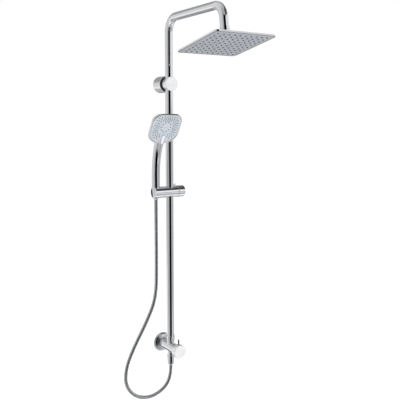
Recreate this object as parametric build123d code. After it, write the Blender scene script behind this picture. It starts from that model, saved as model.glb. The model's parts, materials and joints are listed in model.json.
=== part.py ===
from build123d import *
import math
import os

# ---------------------------------------------------------------------------
# Rainfall shower column.  Millimetres, +Z up, +Y into the wall, +X to the right
# of a person facing the wall.  The origin is the centre of the water inlet, on
# the finished wall, so the whole column stands in front of it at negative Y.
# ---------------------------------------------------------------------------

# Column
TUBE_R = 12.5
TUBE_WALL = 1.5
AXIS_Y = -60.0            # the riser's centre line, in front of the wall
INLET_Z = 0.0
SLIDER_Z = 531.0
BRACKET_Z = 880.0
ARM_Z = 1086.0
ARM_REACH = 301.0         # from the riser to where the drop's line meets the arm's
BEND_R = 45.0
DROP_LEAN = 8.0           # degrees, the outlet's lean away from the wall
DROP_LENGTH = 64.6
FIT_GAP = 0.05            # radial gap of a part that is fixed in its seat
TIGHT_GAP = 0.02          # radial gap of a pin or stem held by its own knob
RUN_GAP = 0.06            # radial gap of a running fit
THREAD_R = 10.4           # G1/2 thread, as a plain cylinder
WATERWAY_R = 7.5
THROUGH = 60.0            # long enough for a cut to pass right through any small part

# Lower unit
INLET_R = 10.48
INLET_LENGTH = 14.0
INLET_SHOULDER_R = 14.0
BODY_BACK_Y = -6.0
BODY_THREAD_R = 9.6
BODY_THREAD_LENGTH = 16.0
ROSETTE_R = 33.0
ROSETTE_EDGE = 4.5        # depth of the rosette at its rim
ROSETTE_DEPTH = 10.5      # and round the body
ROSETTE_WALL = 3.0
SEAL_DEPTH = 2.8
BODY_R = 17.0
BODY_FRONT_Y = -106.0
KNOB_R = 23.0
KNOB_BACK_Y = -107.0
KNOB_LENGTH = 16.0
KNOB_BORE = 10.0
SPINDLE_R = 4.0
SPINDLE_BACK_Y = -86.0
CARTRIDGE_BACK_Y = -82.0
CHAMBER_R = 11.5
INLAY_R = 13.0
INLAY_SEAT = 1.0
INLAY_THICK = 0.8
PIN_R = 2.6
PIN_Y = KNOB_BACK_Y - 6.0
PIN_FOOT_Z = 13.0
PIN_TOP_Z = 40.5
NECK_R = 13.2
NECK_TOP_Z = 25.0
NECK_NUT_R = 14.3
NECK_NUT_TOP_Z = 41.0
RISER_BOTTOM_Z = 20.0
OUTLET_BOTTOM_Z = -40.0
LOWER_NUT_TOP_Z = -29.0
LOWER_NUT_BOTTOM_Z = -62.0
HOSE_BORE_R = 4.0
WASHER_R = 9.8
WASHER_BORE_R = 5.0

# Upper bracket
CUP_R = 26.5
CUP_BACK_Y = -0.4
CUP_FRONT_Y = -46.0
CUP_WALL = 4.0
CUP_RING_R = 25.2
CUP_RING_DEPTH = 1.3
DISC_R = 22.3
DISC_FRONT_Y = -12.0
SCREW_RISE = 13.0          # each screw's height above or below the bracket's axis
SCREW_R = 2.4
SCREW_NECK_R = 2.6
SCREW_HEAD_R = 4.5
SCREW_HEAD_SINK = 4.0
SCREW_DEPTH = 20.0
GRUB_SCREW_R = 2.0
GRUB_SCREW_Y = -9.0
SET_SCREW_R = 2.5
NECK_BODY_R = 21.2
NECK_BODY_FRONT_Y = -74.6
CAP_R = 22.2
CAP_FRONT_Y = -76.8
CAP_SKIRT = 5.0
SLEEVE_HALF = 30.0
SLEEVE_R = 10.9
SEAL_OFFSET = 15.0
SEAL_RING_R = 10.04
SEAL_CORD_R = 0.9

# Slider and handset holder
SLIDER_R = 18.5
SLIDER_LEFT_X = -24.0
SLIDER_RIGHT_X = 25.5
BUSH_R = 14.5
CLAMP_KNOB_R = 19.2
CLAMP_KNOB_LEFT_X = 26.0
CLAMP_KNOB_RIGHT_X = 51.0
CLAMP_STEM_R = 5.0
CLAMP_STEM_IN_KNOB = 13.0
BUTTON_X = 19.4
BUTTON_R = 3.6
BUTTON_TOP = 25.5         # above the slider's axis
BUTTON_BOTTOM = 14.0
HOLDER_X = -52.0          # the axis of the conical socket
HOLDER_LEFT_X = -60.0
HOLDER_RIGHT_X = -24.3
SOCKET_TOP_R = 12.6
SOCKET_BOTTOM_R = 10.0
SOCKET_GAP = 0.3
JAW_PAD_THICK = 0.8
SLOT_WIDTH = 13.0
PIVOT_R = 6.0
PIVOT_IN_HOLDER = 12.9
PIVOT_LENGTH = 22.0

# Handset
HANDLE_BOTTOM_Z = 549.5
FACE_CENTRE = (HOLDER_X, -130.0, 742.0)
FACE_TILT = 32.5          # degrees forward of upright
FACE_HALF_WIDTH = 52.4
FACE_TOP = 44.5
FACE_SHOULDER = -41.0
FACE_CHIN = -60.0
CHIN_HALF_WIDTH = 23.0
RIM_WIDTH = 5.0
RIM_DEPTH = 7.0
SHELL_DEPTH = 17.0
SPRAY_PLATE_THICK = 3.0
SPRAY_PLATE_SINK = 1.0    # behind the rim's front
TOP_CORNER_R = 28.0
SHOULDER_CORNER_R = 33.0
CHIN_CORNER_R = 20.0
LEVER_PIVOT_V = -33.0     # up the face from its centre
LEVER_PIN_R = 2.0
LEVER_WIDTH = 7.4
LEVER_LENGTH = 30.5
LEVER_THICK = 2.4
SPIGOT_BORE_R = 6.0
SPIGOT_INSERT_R = 9.0
SPIGOT_INSERT_LENGTH = 18.0
SPIGOT_THREAD_LENGTH = 11.5
OUTER_RINGS = ((42.0, 30), (35.0, 30), (28.0, 24))   # reach and number of spray points
RING_FIT = 0.93
RING_DROP = 3.0
INNER_RING_R = 17.0
INNER_RING_COUNT = 10

# Rain head
BALL_R = 9.5
ARM_COLLAR_R = 13.6
ARM_COLLAR_LENGTH = 7.4
ARM_NOSE_LENGTH = 16.0
ARM_INSERT_LENGTH = 11.0
STEM_NUT_R = 13.0
STEM_NUT_LENGTH = 10.0
STEM_NUT_GAP = 0.3
STEM_NECK_R = 5.6
STEM_BORE_R = 3.5
SEAT_R = 12.4
SEAT_BORE_R = 4.5
HUB_R = 13.5
SOCKET_NUT_R = 17.0
BALL_DISTANCE = 92.0      # from the arm's corner to the ball's centre, along the drop
HEAD_TILT = 10.44         # degrees, front edge raised
PLATE_SIDE = 202.0
PLATE_CORNER_R = 12.0
PLATE_BOTTOM = -22.7      # below the ball's centre
PLATE_TOP = -18.0
HUB_TOP = 0.0
PLATE_BORDER = 4.0
SPRAY_FACE_THICK = 2.0
SHELL_WALL = 1.2
NOZZLE_COUNT = 10
NOZZLE_PITCH = 18.0
NOZZLE_HEIGHT = 2.0
NOZZLE_R = 2.7
NOZZLE_BORE_R = 1.0
NOZZLE_HOLE_R = 1.2

# Hose.  The points of its route lie in the column's plane, as (X, Z).
HOSE_R = 6.0
HOSE_TOP = (HOLDER_X, 508.0)
HOSE_TOP_JOIN = (HOLDER_X, 470.0)
HOSE_UPPER_JOIN = (HOLDER_X, 388.0)
HOSE_ROUTE = [
    HOSE_UPPER_JOIN,
    (HOLDER_X, 300.0),
    (-54.6, 178.0),
    (-94.5, 97.0),
    (-137.5, 27.0),
    (-169.0, -39.0),
    (-172.0, -99.0),
    (-137.0, -146.0),
    (-80.0, -163.5),
    (-25.0, -143.0),
    (0.0, -103.0),
    (0.0, LOWER_NUT_BOTTOM_Z),
]

X_AXIS = (1, 0, 0)
Y_AXIS = (0, 1, 0)
Z_AXIS = (0, 0, 1)
LEFT = (-1, 0, 0)
TO_FRONT = (0, -1, 0)
DOWN = (0, 0, -1)


# ---------------------------------------------------------------------------
# Helpers
# ---------------------------------------------------------------------------

def along(start, direction, distance):
    """The point that lies a distance from start, along a unit direction."""
    return tuple(s + d * distance for s, d in zip(start, direction))


def rod(start, direction, length, radius):
    """A solid cylinder that grows from start along direction."""
    plane = Plane(origin=start, z_dir=direction)
    return plane * Cylinder(radius, length, align=(Align.CENTER, Align.CENTER, Align.MIN))


def pipe(start, direction, length, outer, inner):
    """A cylinder with a bore right through it."""
    return rod(start, direction, length, outer) - rod(start, direction, length, inner)


def taper(start, direction, length, start_r, end_r):
    """A cone frustum that grows from start along direction."""
    plane = Plane(origin=start, z_dir=direction)
    return plane * Cone(start_r, end_r, length, align=(Align.CENTER, Align.CENTER, Align.MIN))


def turned(start, direction, profile):
    """A turned solid: profile is (distance along, radius) pairs, closed on its axis."""
    outline = [(0, profile[0][0])] + [(r, s) for s, r in profile] + [(0, profile[-1][0])]
    face = Plane.XZ * make_face(Polyline(*outline, close=True))
    solid = revolve(face, Axis.Z)
    return Plane(origin=start, z_dir=direction) * solid


def ring_edges(part, axis, radius):
    """The full circular edges of one radius about one direction."""
    edges = part.edges().filter_by(GeomType.CIRCLE)
    return [e for e in edges if abs(e.radius - radius) < 0.01 and abs(e.normal().dot(Vector(*axis))) > 0.99]


def rounded(part, axis, radius, position, size):
    """Round the circular edge of one radius that lies at one place along axis."""
    chosen = [e for e in ring_edges(part, axis, radius)
              if abs(e.arc_center.dot(Vector(*axis)) - position) < 0.01]
    return fillet(chosen, size)


def save(name, *shapes):
    """Write one sub-part, which may be several separate solids."""
    solids = [s for shape in shapes for s in shape.solids()]
    node = solids[0] if len(solids) == 1 else Compound(children=solids)
    export_step(node, os.path.join("parts", name + ".step"))


# ---------------------------------------------------------------------------
# Lower unit: inlet, rosette, diverter body, knob and hose outlet
# ---------------------------------------------------------------------------

def wall_inlet():
    """Threaded nipple that screws into the wall's elbow and into the body."""
    foot_y = BODY_BACK_Y - BODY_THREAD_LENGTH
    in_wall = rod((0, 0, INLET_Z), Y_AXIS, INLET_LENGTH, INLET_R)
    shoulder = rod((0, BODY_BACK_Y, INLET_Z), Y_AXIS, -BODY_BACK_Y, INLET_SHOULDER_R)
    in_body = rod((0, foot_y, INLET_Z), Y_AXIS, BODY_THREAD_LENGTH, BODY_THREAD_R)
    bore = rod((0, foot_y, INLET_Z), Y_AXIS, THROUGH, WATERWAY_R)
    return in_wall + shoulder + in_body - bore


def lower_rosette():
    """Round cover plate with a shallow conical front, hollow behind."""
    profile = [(0, ROSETTE_R - 0.8), (0.8, ROSETTE_R), (ROSETTE_EDGE - 1.2, ROSETTE_R),
               (ROSETTE_EDGE, ROSETTE_R - 1.2), (ROSETTE_DEPTH, BODY_R + 1.0)]
    plate = turned((0, 0, INLET_Z), TO_FRONT, profile)
    hollow = rod((0, ROSETTE_WALL - ROSETTE_EDGE - 1.5, INLET_Z), Y_AXIS, ROSETTE_DEPTH,
                 ROSETTE_R - ROSETTE_WALL)
    opening = rod((0, -ROSETTE_DEPTH - 1, INLET_Z), Y_AXIS, THROUGH, BODY_R + 0.2)
    return plate - hollow - opening


def rosette_seal():
    """Soft ring between the rosette and the wall."""
    return pipe((0, -SEAL_DEPTH, INLET_Z), Y_AXIS, SEAL_DEPTH, ROSETTE_R - 4, ROSETTE_R - 9)


def diverter_body():
    """Horizontal valve body with the riser's neck above and the hose outlet below."""
    length = BODY_BACK_Y - BODY_FRONT_Y
    neck_foot = (0, AXIS_Y, INLET_Z)
    barrel = rod((0, BODY_BACK_Y, INLET_Z), TO_FRONT, length, BODY_R)
    neck = rod(neck_foot, Z_AXIS, NECK_TOP_Z, NECK_R)
    spigot = rod(neck_foot, DOWN, -OUTLET_BOTTOM_Z, THREAD_R)
    inlet_thread = rod((0, BODY_BACK_Y, INLET_Z), TO_FRONT, BODY_THREAD_LENGTH, BODY_THREAD_R + FIT_GAP)
    chamber = rod((0, BODY_BACK_Y - BODY_THREAD_LENGTH, INLET_Z), TO_FRONT, length, CHAMBER_R)
    riser_way = rod(neck_foot, Z_AXIS, NECK_TOP_Z, 9.5)
    riser_seat = rod((0, AXIS_Y, RISER_BOTTOM_Z), Z_AXIS, 10, TUBE_R + FIT_GAP)
    outlet_way = rod(neck_foot, DOWN, THROUGH, WATERWAY_R)
    solid = barrel + neck + spigot
    return solid - inlet_thread - chamber - riser_way - riser_seat - outlet_way


def neck_nut():
    """Collar that locks the riser into the neck."""
    nut = rod((0, AXIS_Y, NECK_TOP_Z), Z_AXIS, NECK_NUT_TOP_Z - NECK_TOP_Z, NECK_NUT_R)
    nut = rounded(nut, Z_AXIS, NECK_NUT_R, NECK_NUT_TOP_Z, 1.2)
    return nut - rod((0, AXIS_Y, NECK_TOP_Z), Z_AXIS, THROUGH, TUBE_R + FIT_GAP)


def diverter_cartridge():
    """Ceramic cartridge that the spindle turns, sealed inside the body."""
    start = (0, CARTRIDGE_BACK_Y, INLET_Z)
    return pipe(start, TO_FRONT, CARTRIDGE_BACK_Y - BODY_FRONT_Y, CHAMBER_R - FIT_GAP, SPINDLE_R + RUN_GAP)


def diverter_spindle():
    """Spindle that carries the knob."""
    length = SPINDLE_BACK_Y - KNOB_BACK_Y + KNOB_BORE
    return rod((0, SPINDLE_BACK_Y, INLET_Z), TO_FRONT, length, SPINDLE_R)


def diverter_knob():
    """Round knob with a radial hole for its pin and a seat for its inlay."""
    front_y = KNOB_BACK_Y - KNOB_LENGTH
    knob = rod((0, KNOB_BACK_Y, INLET_Z), TO_FRONT, KNOB_LENGTH, KNOB_R)
    knob = rounded(knob, Y_AXIS, KNOB_R, front_y, 1.8)
    knob = rounded(knob, Y_AXIS, KNOB_R, KNOB_BACK_Y, 1.0)
    knob -= rod((0, KNOB_BACK_Y + 1, INLET_Z), TO_FRONT, KNOB_BORE + 1, SPINDLE_R + TIGHT_GAP)
    knob -= rod((0, PIN_Y, PIN_FOOT_Z), Z_AXIS, KNOB_R, PIN_R + TIGHT_GAP)
    return knob - rod((0, front_y, INLET_Z), Y_AXIS, INLAY_SEAT, INLAY_R)


def knob_pin():
    """Slim lever pin that stands on the knob."""
    pin = rod((0, PIN_Y, PIN_FOOT_Z), Z_AXIS, PIN_TOP_Z - PIN_FOOT_Z, PIN_R)
    return rounded(pin, Z_AXIS, PIN_R, PIN_TOP_Z, 1.2)


def knob_inlay():
    """Disc set in the knob's face."""
    front_y = KNOB_BACK_Y - KNOB_LENGTH + INLAY_SEAT - INLAY_THICK
    return rod((0, front_y, INLET_Z), Y_AXIS, INLAY_THICK, INLAY_R - FIT_GAP)


def lower_hose_nut():
    """Conical nut that holds the hose on the outlet."""
    height = LOWER_NUT_TOP_Z - LOWER_NUT_BOTTOM_Z
    start = (0, AXIS_Y, LOWER_NUT_TOP_Z)
    profile = [(0, 11.8), (0.8, 12.4), (height - 4, 11.3), (height - 1.2, 10.0), (height, 8.0)]
    nut = turned(start, DOWN, profile)
    nut -= rod(start, DOWN, 13, THREAD_R + FIT_GAP)
    return nut - rod(start, DOWN, THROUGH, HOSE_BORE_R)


def outlet_washer():
    """Rubber washer between the outlet and the nut."""
    return pipe((0, AXIS_Y, OUTLET_BOTTOM_Z), DOWN, 2, WASHER_R, WASHER_BORE_R)


# ---------------------------------------------------------------------------
# Riser, gooseneck arm and the sleeve that joins them
# ---------------------------------------------------------------------------

def drop_direction():
    lean = math.radians(DROP_LEAN)
    return (0, -math.sin(lean), -math.cos(lean))


def arm_corner():
    return (0, AXIS_Y - ARM_REACH, ARM_Z)


def riser_tube():
    """Straight lower tube, from the valve's neck to the upper bracket."""
    start = (0, AXIS_Y, RISER_BOTTOM_Z)
    return pipe(start, Z_AXIS, BRACKET_Z - RISER_BOTTOM_Z, TUBE_R, TUBE_R - TUBE_WALL)


def gooseneck_arm():
    """Bent upper tube: up, over and down to the rain head."""
    end = along(arm_corner(), drop_direction(), DROP_LENGTH)
    path = FilletPolyline((0, AXIS_Y, BRACKET_Z), (0, AXIS_Y, ARM_Z), arm_corner(), end, radius=BEND_R)
    start = Plane(origin=(0, AXIS_Y, BRACKET_Z), z_dir=Z_AXIS)
    section = start * (Circle(TUBE_R) - Circle(TUBE_R - TUBE_WALL))
    return sweep(section, path=path)


def sleeve_groove_heights():
    return [BRACKET_Z - SEAL_OFFSET, BRACKET_Z + SEAL_OFFSET]


def joining_sleeve():
    """Inner sleeve across the joint of the two tubes, grooved for its seals."""
    start = (0, AXIS_Y, BRACKET_Z - SLEEVE_HALF)
    sleeve = pipe(start, Z_AXIS, 2 * SLEEVE_HALF, SLEEVE_R, WATERWAY_R)
    for z in sleeve_groove_heights():
        groove = pipe((0, AXIS_Y, z - 1.1), Z_AXIS, 2.2, SLEEVE_R + 1, SLEEVE_R - 2 * SEAL_CORD_R)
        sleeve -= groove
    return sleeve


def sleeve_seals():
    """The two O-rings of the sleeve."""
    return [Pos(0, AXIS_Y, z) * Torus(SEAL_RING_R, SEAL_CORD_R) for z in sleeve_groove_heights()]


def arm_end_fitting():
    """Collar and threaded nose fixed in the arm's outlet."""
    corner = arm_corner()
    way = drop_direction()
    end = along(corner, way, DROP_LENGTH)
    insert_start = along(corner, way, DROP_LENGTH - ARM_INSERT_LENGTH)
    insert = rod(insert_start, way, ARM_INSERT_LENGTH, TUBE_R - TUBE_WALL - FIT_GAP)
    collar = rod(end, way, ARM_COLLAR_LENGTH, ARM_COLLAR_R)
    nose = rod(end, way, ARM_NOSE_LENGTH, THREAD_R)
    bore = rod(insert_start, way, THROUGH, WATERWAY_R)
    return insert + collar + nose - bore


# ---------------------------------------------------------------------------
# Upper bracket
# ---------------------------------------------------------------------------

def wall_disc():
    """Disc screwed to the wall, which the bracket's cup slips over."""
    disc = rod((0, 0, BRACKET_Z), TO_FRONT, -DISC_FRONT_Y, DISC_R)
    for z in (BRACKET_Z - SCREW_RISE, BRACKET_Z + SCREW_RISE):
        disc -= rod((0, 1, z), TO_FRONT, THROUGH, SCREW_NECK_R + 0.3)
        disc -= rod((0, DISC_FRONT_Y + SCREW_HEAD_SINK, z), TO_FRONT, THROUGH, SCREW_HEAD_R + 0.4)
    return disc


def wall_screw(z):
    """Wall screw with a cross slot, its head sunk in the disc."""
    seat_y = DISC_FRONT_Y + SCREW_HEAD_SINK
    head_height = 3.2
    head = rod((0, seat_y, z), TO_FRONT, head_height, SCREW_HEAD_R)
    neck = rod((0, seat_y, z), Y_AXIS, -seat_y, SCREW_NECK_R)
    shank = rod((0, 0, z), Y_AXIS, SCREW_DEPTH, SCREW_R)
    for width, height in ((6, 1), (1, 6)):
        head -= Pos(0, seat_y - head_height, z) * Box(width, 2, height)
    return head + neck + shank


def bracket_cup():
    """Deep round cup that hides the wall disc."""
    depth = CUP_BACK_Y - CUP_FRONT_Y
    cup = rod((0, CUP_BACK_Y, BRACKET_Z), TO_FRONT, depth, CUP_R)
    cup = rounded(cup, Y_AXIS, CUP_R, CUP_FRONT_Y, 1.0)
    cup = rounded(cup, Y_AXIS, CUP_R, CUP_BACK_Y, 0.8)
    cup -= rod((0, CUP_BACK_Y + 1, BRACKET_Z), TO_FRONT, depth - 9, CUP_R - CUP_WALL)
    return cup - rod((0, GRUB_SCREW_Y, BRACKET_Z), DOWN, THROUGH, GRUB_SCREW_R + FIT_GAP)


def cup_ring():
    """Black ring between the cup and the barrel."""
    return pipe((0, CUP_FRONT_Y, BRACKET_Z), TO_FRONT, CUP_RING_DEPTH, CUP_RING_R, NECK_BODY_R + FIT_GAP)


def bracket_grub_screw():
    """Grub screw that locks the cup on the disc, from below."""
    sink = 0.8
    screw = rod((0, GRUB_SCREW_Y, BRACKET_Z - DISC_R), DOWN, CUP_R - DISC_R - sink, GRUB_SCREW_R)
    return screw - Pos(0, GRUB_SCREW_Y, BRACKET_Z - CUP_R + sink) * Box(0.8, 3, 1.6)


def bracket_body():
    """Short barrel in front of the cup, bored for the two tubes."""
    barrel = rod((0, CUP_FRONT_Y, BRACKET_Z), TO_FRONT, CUP_FRONT_Y - NECK_BODY_FRONT_Y, NECK_BODY_R)
    tube_way = rod((0, AXIS_Y, BRACKET_Z - THROUGH / 2), Z_AXIS, THROUGH, TUBE_R + FIT_GAP)
    screw_way = rod((0, AXIS_Y, BRACKET_Z), TO_FRONT, THROUGH, SET_SCREW_R + 2 * FIT_GAP)
    return barrel - tube_way - screw_way


def tube_clamp_screw():
    """Set screw behind the cap that holds the tubes still."""
    length = AXIS_Y - TUBE_R - NECK_BODY_FRONT_Y - 0.2
    return rod((0, NECK_BODY_FRONT_Y, BRACKET_Z), Y_AXIS, length, SET_SCREW_R)


def bracket_cap():
    """Polished cap over the barrel's front."""
    skirt_back_y = NECK_BODY_FRONT_Y + CAP_SKIRT
    cap = rod((0, skirt_back_y, BRACKET_Z), TO_FRONT, skirt_back_y - CAP_FRONT_Y, CAP_R)
    cap = rounded(cap, Y_AXIS, CAP_R, CAP_FRONT_Y, 1.2)
    cap -= rod((0, skirt_back_y, BRACKET_Z), TO_FRONT, CAP_SKIRT, NECK_BODY_R + FIT_GAP)
    return cap - rod((0, AXIS_Y, BRACKET_Z - THROUGH / 2), Z_AXIS, THROUGH, TUBE_R + 0.3)


# ---------------------------------------------------------------------------
# Slider, clamp knob, release button and handset holder
# ---------------------------------------------------------------------------

def slider_body():
    """Barrel that slides on the riser."""
    start = (SLIDER_LEFT_X, AXIS_Y, SLIDER_Z)
    body = rod(start, X_AXIS, SLIDER_RIGHT_X - SLIDER_LEFT_X, SLIDER_R)
    body -= rod((0, AXIS_Y, SLIDER_Z - THROUGH / 2), Z_AXIS, THROUGH, BUSH_R + FIT_GAP)
    body -= rod((0, AXIS_Y, SLIDER_Z), X_AXIS, THROUGH, CLAMP_STEM_R + RUN_GAP)
    body -= rod(start, X_AXIS, -SLIDER_LEFT_X, PIVOT_R + RUN_GAP)
    button_way = rod((BUTTON_X, AXIS_Y, SLIDER_Z + BUTTON_BOTTOM - 3), Z_AXIS, THROUGH, BUTTON_R + 0.3)
    return body - button_way


def slider_bush():
    """Plastic bush that runs on the riser."""
    bush = pipe((0, AXIS_Y, SLIDER_Z - THROUGH / 2), Z_AXIS, THROUGH, BUSH_R, TUBE_R + RUN_GAP)
    return bush & rod((-THROUGH / 2, AXIS_Y, SLIDER_Z), X_AXIS, THROUGH, SLIDER_R - 0.3)


def clamp_knob():
    """Knob at the slider's right end."""
    knob = rod((CLAMP_KNOB_LEFT_X, AXIS_Y, SLIDER_Z), X_AXIS,
               CLAMP_KNOB_RIGHT_X - CLAMP_KNOB_LEFT_X, CLAMP_KNOB_R)
    outer = [e for e in ring_edges(knob, X_AXIS, CLAMP_KNOB_R) if e.arc_center.X > CLAMP_KNOB_LEFT_X + 1]
    knob = chamfer(outer, 2.5)
    knob = rounded(knob, X_AXIS, CLAMP_KNOB_R, CLAMP_KNOB_LEFT_X, 0.8)
    seat = rod((CLAMP_KNOB_LEFT_X, AXIS_Y, SLIDER_Z), X_AXIS, CLAMP_STEM_IN_KNOB + 1, CLAMP_STEM_R + TIGHT_GAP)
    return knob - seat


def clamp_stem():
    """Threaded stem that the knob tightens against the bush."""
    left_x = BUSH_R + 0.3
    right_x = CLAMP_KNOB_LEFT_X + CLAMP_STEM_IN_KNOB
    return rod((left_x, AXIS_Y, SLIDER_Z), X_AXIS, right_x - left_x, CLAMP_STEM_R)


def release_button():
    """Small push button beside the riser."""
    height = BUTTON_TOP - BUTTON_BOTTOM
    button = rod((BUTTON_X, AXIS_Y, SLIDER_Z + BUTTON_BOTTOM), Z_AXIS, height, BUTTON_R)
    return rounded(button, Z_AXIS, BUTTON_R, SLIDER_Z + BUTTON_TOP, 1.2)


def handset_holder():
    """Left end of the slider, with the open conical socket for the hose nut."""
    start = (HOLDER_LEFT_X, AXIS_Y, SLIDER_Z)
    holder = rod(start, X_AXIS, HOLDER_RIGHT_X - HOLDER_LEFT_X, SLIDER_R)
    pivot_seat = rod((HOLDER_RIGHT_X, AXIS_Y, SLIDER_Z), LEFT, PIVOT_IN_HOLDER + 0.1, PIVOT_R + TIGHT_GAP)
    return holder - socket_way() - slot_way() - pivot_seat


def socket_way():
    """The cut of the conical socket."""
    foot = (HOLDER_X, AXIS_Y, SLIDER_Z - SLIDER_R)
    return taper(foot, Z_AXIS, 2 * SLIDER_R, SOCKET_BOTTOM_R, SOCKET_TOP_R)


def slot_way():
    """The cut of the socket's open side, which lets the hose in."""
    return Pos(HOLDER_X - THROUGH / 2, AXIS_Y, SLIDER_Z) * Box(THROUGH, SLOT_WIDTH, THROUGH)


def jaw_pad():
    """Black pad on the end of the jaw nearer the wall."""
    disc = rod((HOLDER_LEFT_X, AXIS_Y, SLIDER_Z), LEFT, JAW_PAD_THICK, SLIDER_R - 0.2)
    front_half = Pos(HOLDER_LEFT_X, AXIS_Y - THROUGH / 2, SLIDER_Z) * Box(THROUGH, THROUGH, THROUGH)
    return disc - front_half - socket_way() - slot_way()


def holder_pivot():
    """Pin that the holder tilts on."""
    return rod((HOLDER_RIGHT_X - PIVOT_IN_HOLDER, AXIS_Y, SLIDER_Z), X_AXIS, PIVOT_LENGTH, PIVOT_R)


# ---------------------------------------------------------------------------
# Handset
# ---------------------------------------------------------------------------

def face_plane(depth=0.0):
    """The spray face's plane, or one a depth behind it; its y runs up the face."""
    tilt = math.radians(FACE_TILT)
    normal = (0, -math.cos(tilt), -math.sin(tilt))
    return Plane(origin=along(FACE_CENTRE, normal, -depth), x_dir=(1, 0, 0), z_dir=normal)


def face_outline(inset=0.0):
    """The handset head's outline: a rounded square that narrows to the handle."""
    corners = [
        (-FACE_HALF_WIDTH, FACE_TOP), (FACE_HALF_WIDTH, FACE_TOP),
        (FACE_HALF_WIDTH, FACE_SHOULDER), (CHIN_HALF_WIDTH, FACE_CHIN),
        (-CHIN_HALF_WIDTH, FACE_CHIN), (-FACE_HALF_WIDTH, FACE_SHOULDER),
    ]
    outline = make_face(Polyline(*corners, close=True))
    vertices = outline.vertices()
    top = [v for v in vertices if v.Y > 0]
    shoulders = [v for v in vertices if v.Y < 0 and abs(v.X) > CHIN_HALF_WIDTH + 1]
    chin = [v for v in vertices if abs(v.X) < CHIN_HALF_WIDTH + 1]
    outline = fillet(top, TOP_CORNER_R)
    outline = fillet([v for v in outline.vertices() if nearest(v, shoulders) < 0.01], SHOULDER_CORNER_R)
    outline = fillet([v for v in outline.vertices() if nearest(v, chin) < 0.01], CHIN_CORNER_R)
    if inset:
        outline = offset(outline, -inset)
    return outline


def nearest(vertex, others):
    """The distance from a vertex to the nearest of some others."""
    return min((Vector(vertex) - Vector(o)).length for o in others)


def handle_stations():
    """Stations of the handle: height, Y, forward lean in degrees, half width, half depth."""
    return [
        (HANDLE_BOTTOM_Z, AXIS_Y, 0, 13.4, 13.0),
        (590.0, AXIS_Y - 0.8, 2, 13.2, 12.2),
        (632.0, AXIS_Y - 5.0, 9, 13.4, 11.6),
        (672.0, AXIS_Y - 15.5, 19, 14.6, 11.0),
        (706.0, AXIS_Y - 31.0, 28, 18.0, 10.0),
        (734.0, AXIS_Y - 48.0, FACE_TILT, 24.0, 7.5),
    ]


def handset_shell():
    """Back shell and bowed handle in one piece."""
    stations = []
    for z, y, lean, half_width, half_depth in handle_stations():
        angle = math.radians(lean)
        plane = Plane(origin=(HOLDER_X, y, z), x_dir=(1, 0, 0),
                      z_dir=(0, -math.sin(angle), math.cos(angle)))
        stations.append(plane * Ellipse(half_width, half_depth))
    handle = loft(stations)
    rear = loft([face_plane(RIM_DEPTH) * face_outline(0.6),
                 face_plane(RIM_DEPTH + 5) * face_outline(3.0),
                 face_plane(SHELL_DEPTH) * face_outline(14.0)])
    front = extrude(face_plane(RIM_DEPTH) * face_outline(), RIM_DEPTH + 20)
    shell = handle + rear - front
    return shell - rod((HOLDER_X, AXIS_Y, HANDLE_BOTTOM_Z), Z_AXIS, SPIGOT_INSERT_LENGTH, SPIGOT_INSERT_R)


def handset_rim():
    """Bright ring round the spray face."""
    return extrude(face_plane(RIM_DEPTH) * (face_outline() - face_outline(RIM_WIDTH)), RIM_DEPTH)


def handset_spray_plate():
    """Pale spray face, set just inside the rim."""
    back = SPRAY_PLATE_SINK + SPRAY_PLATE_THICK
    plate = extrude(face_plane(back) * face_outline(RIM_WIDTH + 0.1), SPRAY_PLATE_THICK)
    return plate - rod(on_face(0, LEVER_PIVOT_V, back + 1), face_normal(), THROUGH, LEVER_PIN_R + RUN_GAP)


def face_normal():
    """The direction in which the spray face looks."""
    return tuple(face_plane().z_dir)


def on_face(u, v, depth=0.0):
    """A point of the spray face: u to the right, v up the face."""
    return tuple(face_plane(depth).from_local_coords((u, v, 0)))


def handset_water_box():
    """Inner chamber between the shell and the spray plate."""
    depth = RIM_DEPTH - SPRAY_PLATE_SINK - SPRAY_PLATE_THICK
    return extrude(face_plane(RIM_DEPTH) * face_outline(RIM_WIDTH + 6), depth)


def outer_nozzle_points():
    """Three rings of spray points that follow the rounded square, clear of the lever."""
    points = []
    for ring, (reach, count) in enumerate(OUTER_RINGS):
        for k in range(count):
            angle = 2 * math.pi * (k + 0.5 * (ring % 2)) / count
            squareness = (abs(math.cos(angle)) ** 4 + abs(math.sin(angle)) ** 4) ** 0.25
            u = RING_FIT * reach * math.cos(angle) / squareness
            v = RING_FIT * reach * math.sin(angle) / squareness - RING_DROP
            if not (v < -22 and abs(u) < 13):
                points.append((u, v))
    return points


def inner_nozzle_points():
    """A ring of larger spray points round the middle."""
    angles = [2 * math.pi * k / INNER_RING_COUNT for k in range(INNER_RING_COUNT)]
    return [(INNER_RING_R * math.cos(a), INNER_RING_R * math.sin(a)) for a in angles]


def spray_nipples(points, radius, height):
    """Small soft nozzles that stand on the spray face."""
    return [taper(on_face(u, v, SPRAY_PLATE_SINK), face_normal(), height, radius, 0.7 * radius)
            for u, v in points]


def selector_lever():
    """White lever at the foot of the face, which turns on a pin."""
    lift = 0.9
    pin_depth = 3.9
    outline = RectangleRounded(LEVER_WIDTH, LEVER_LENGTH, 3.6)
    bar = face_plane(-lift) * Pos(0, LEVER_PIVOT_V + 4 - LEVER_LENGTH / 2, 0) * outline
    pin = rod(on_face(0, LEVER_PIVOT_V, pin_depth), face_normal(), pin_depth + 1, LEVER_PIN_R)
    return extrude(bar, LEVER_THICK) + pin


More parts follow.
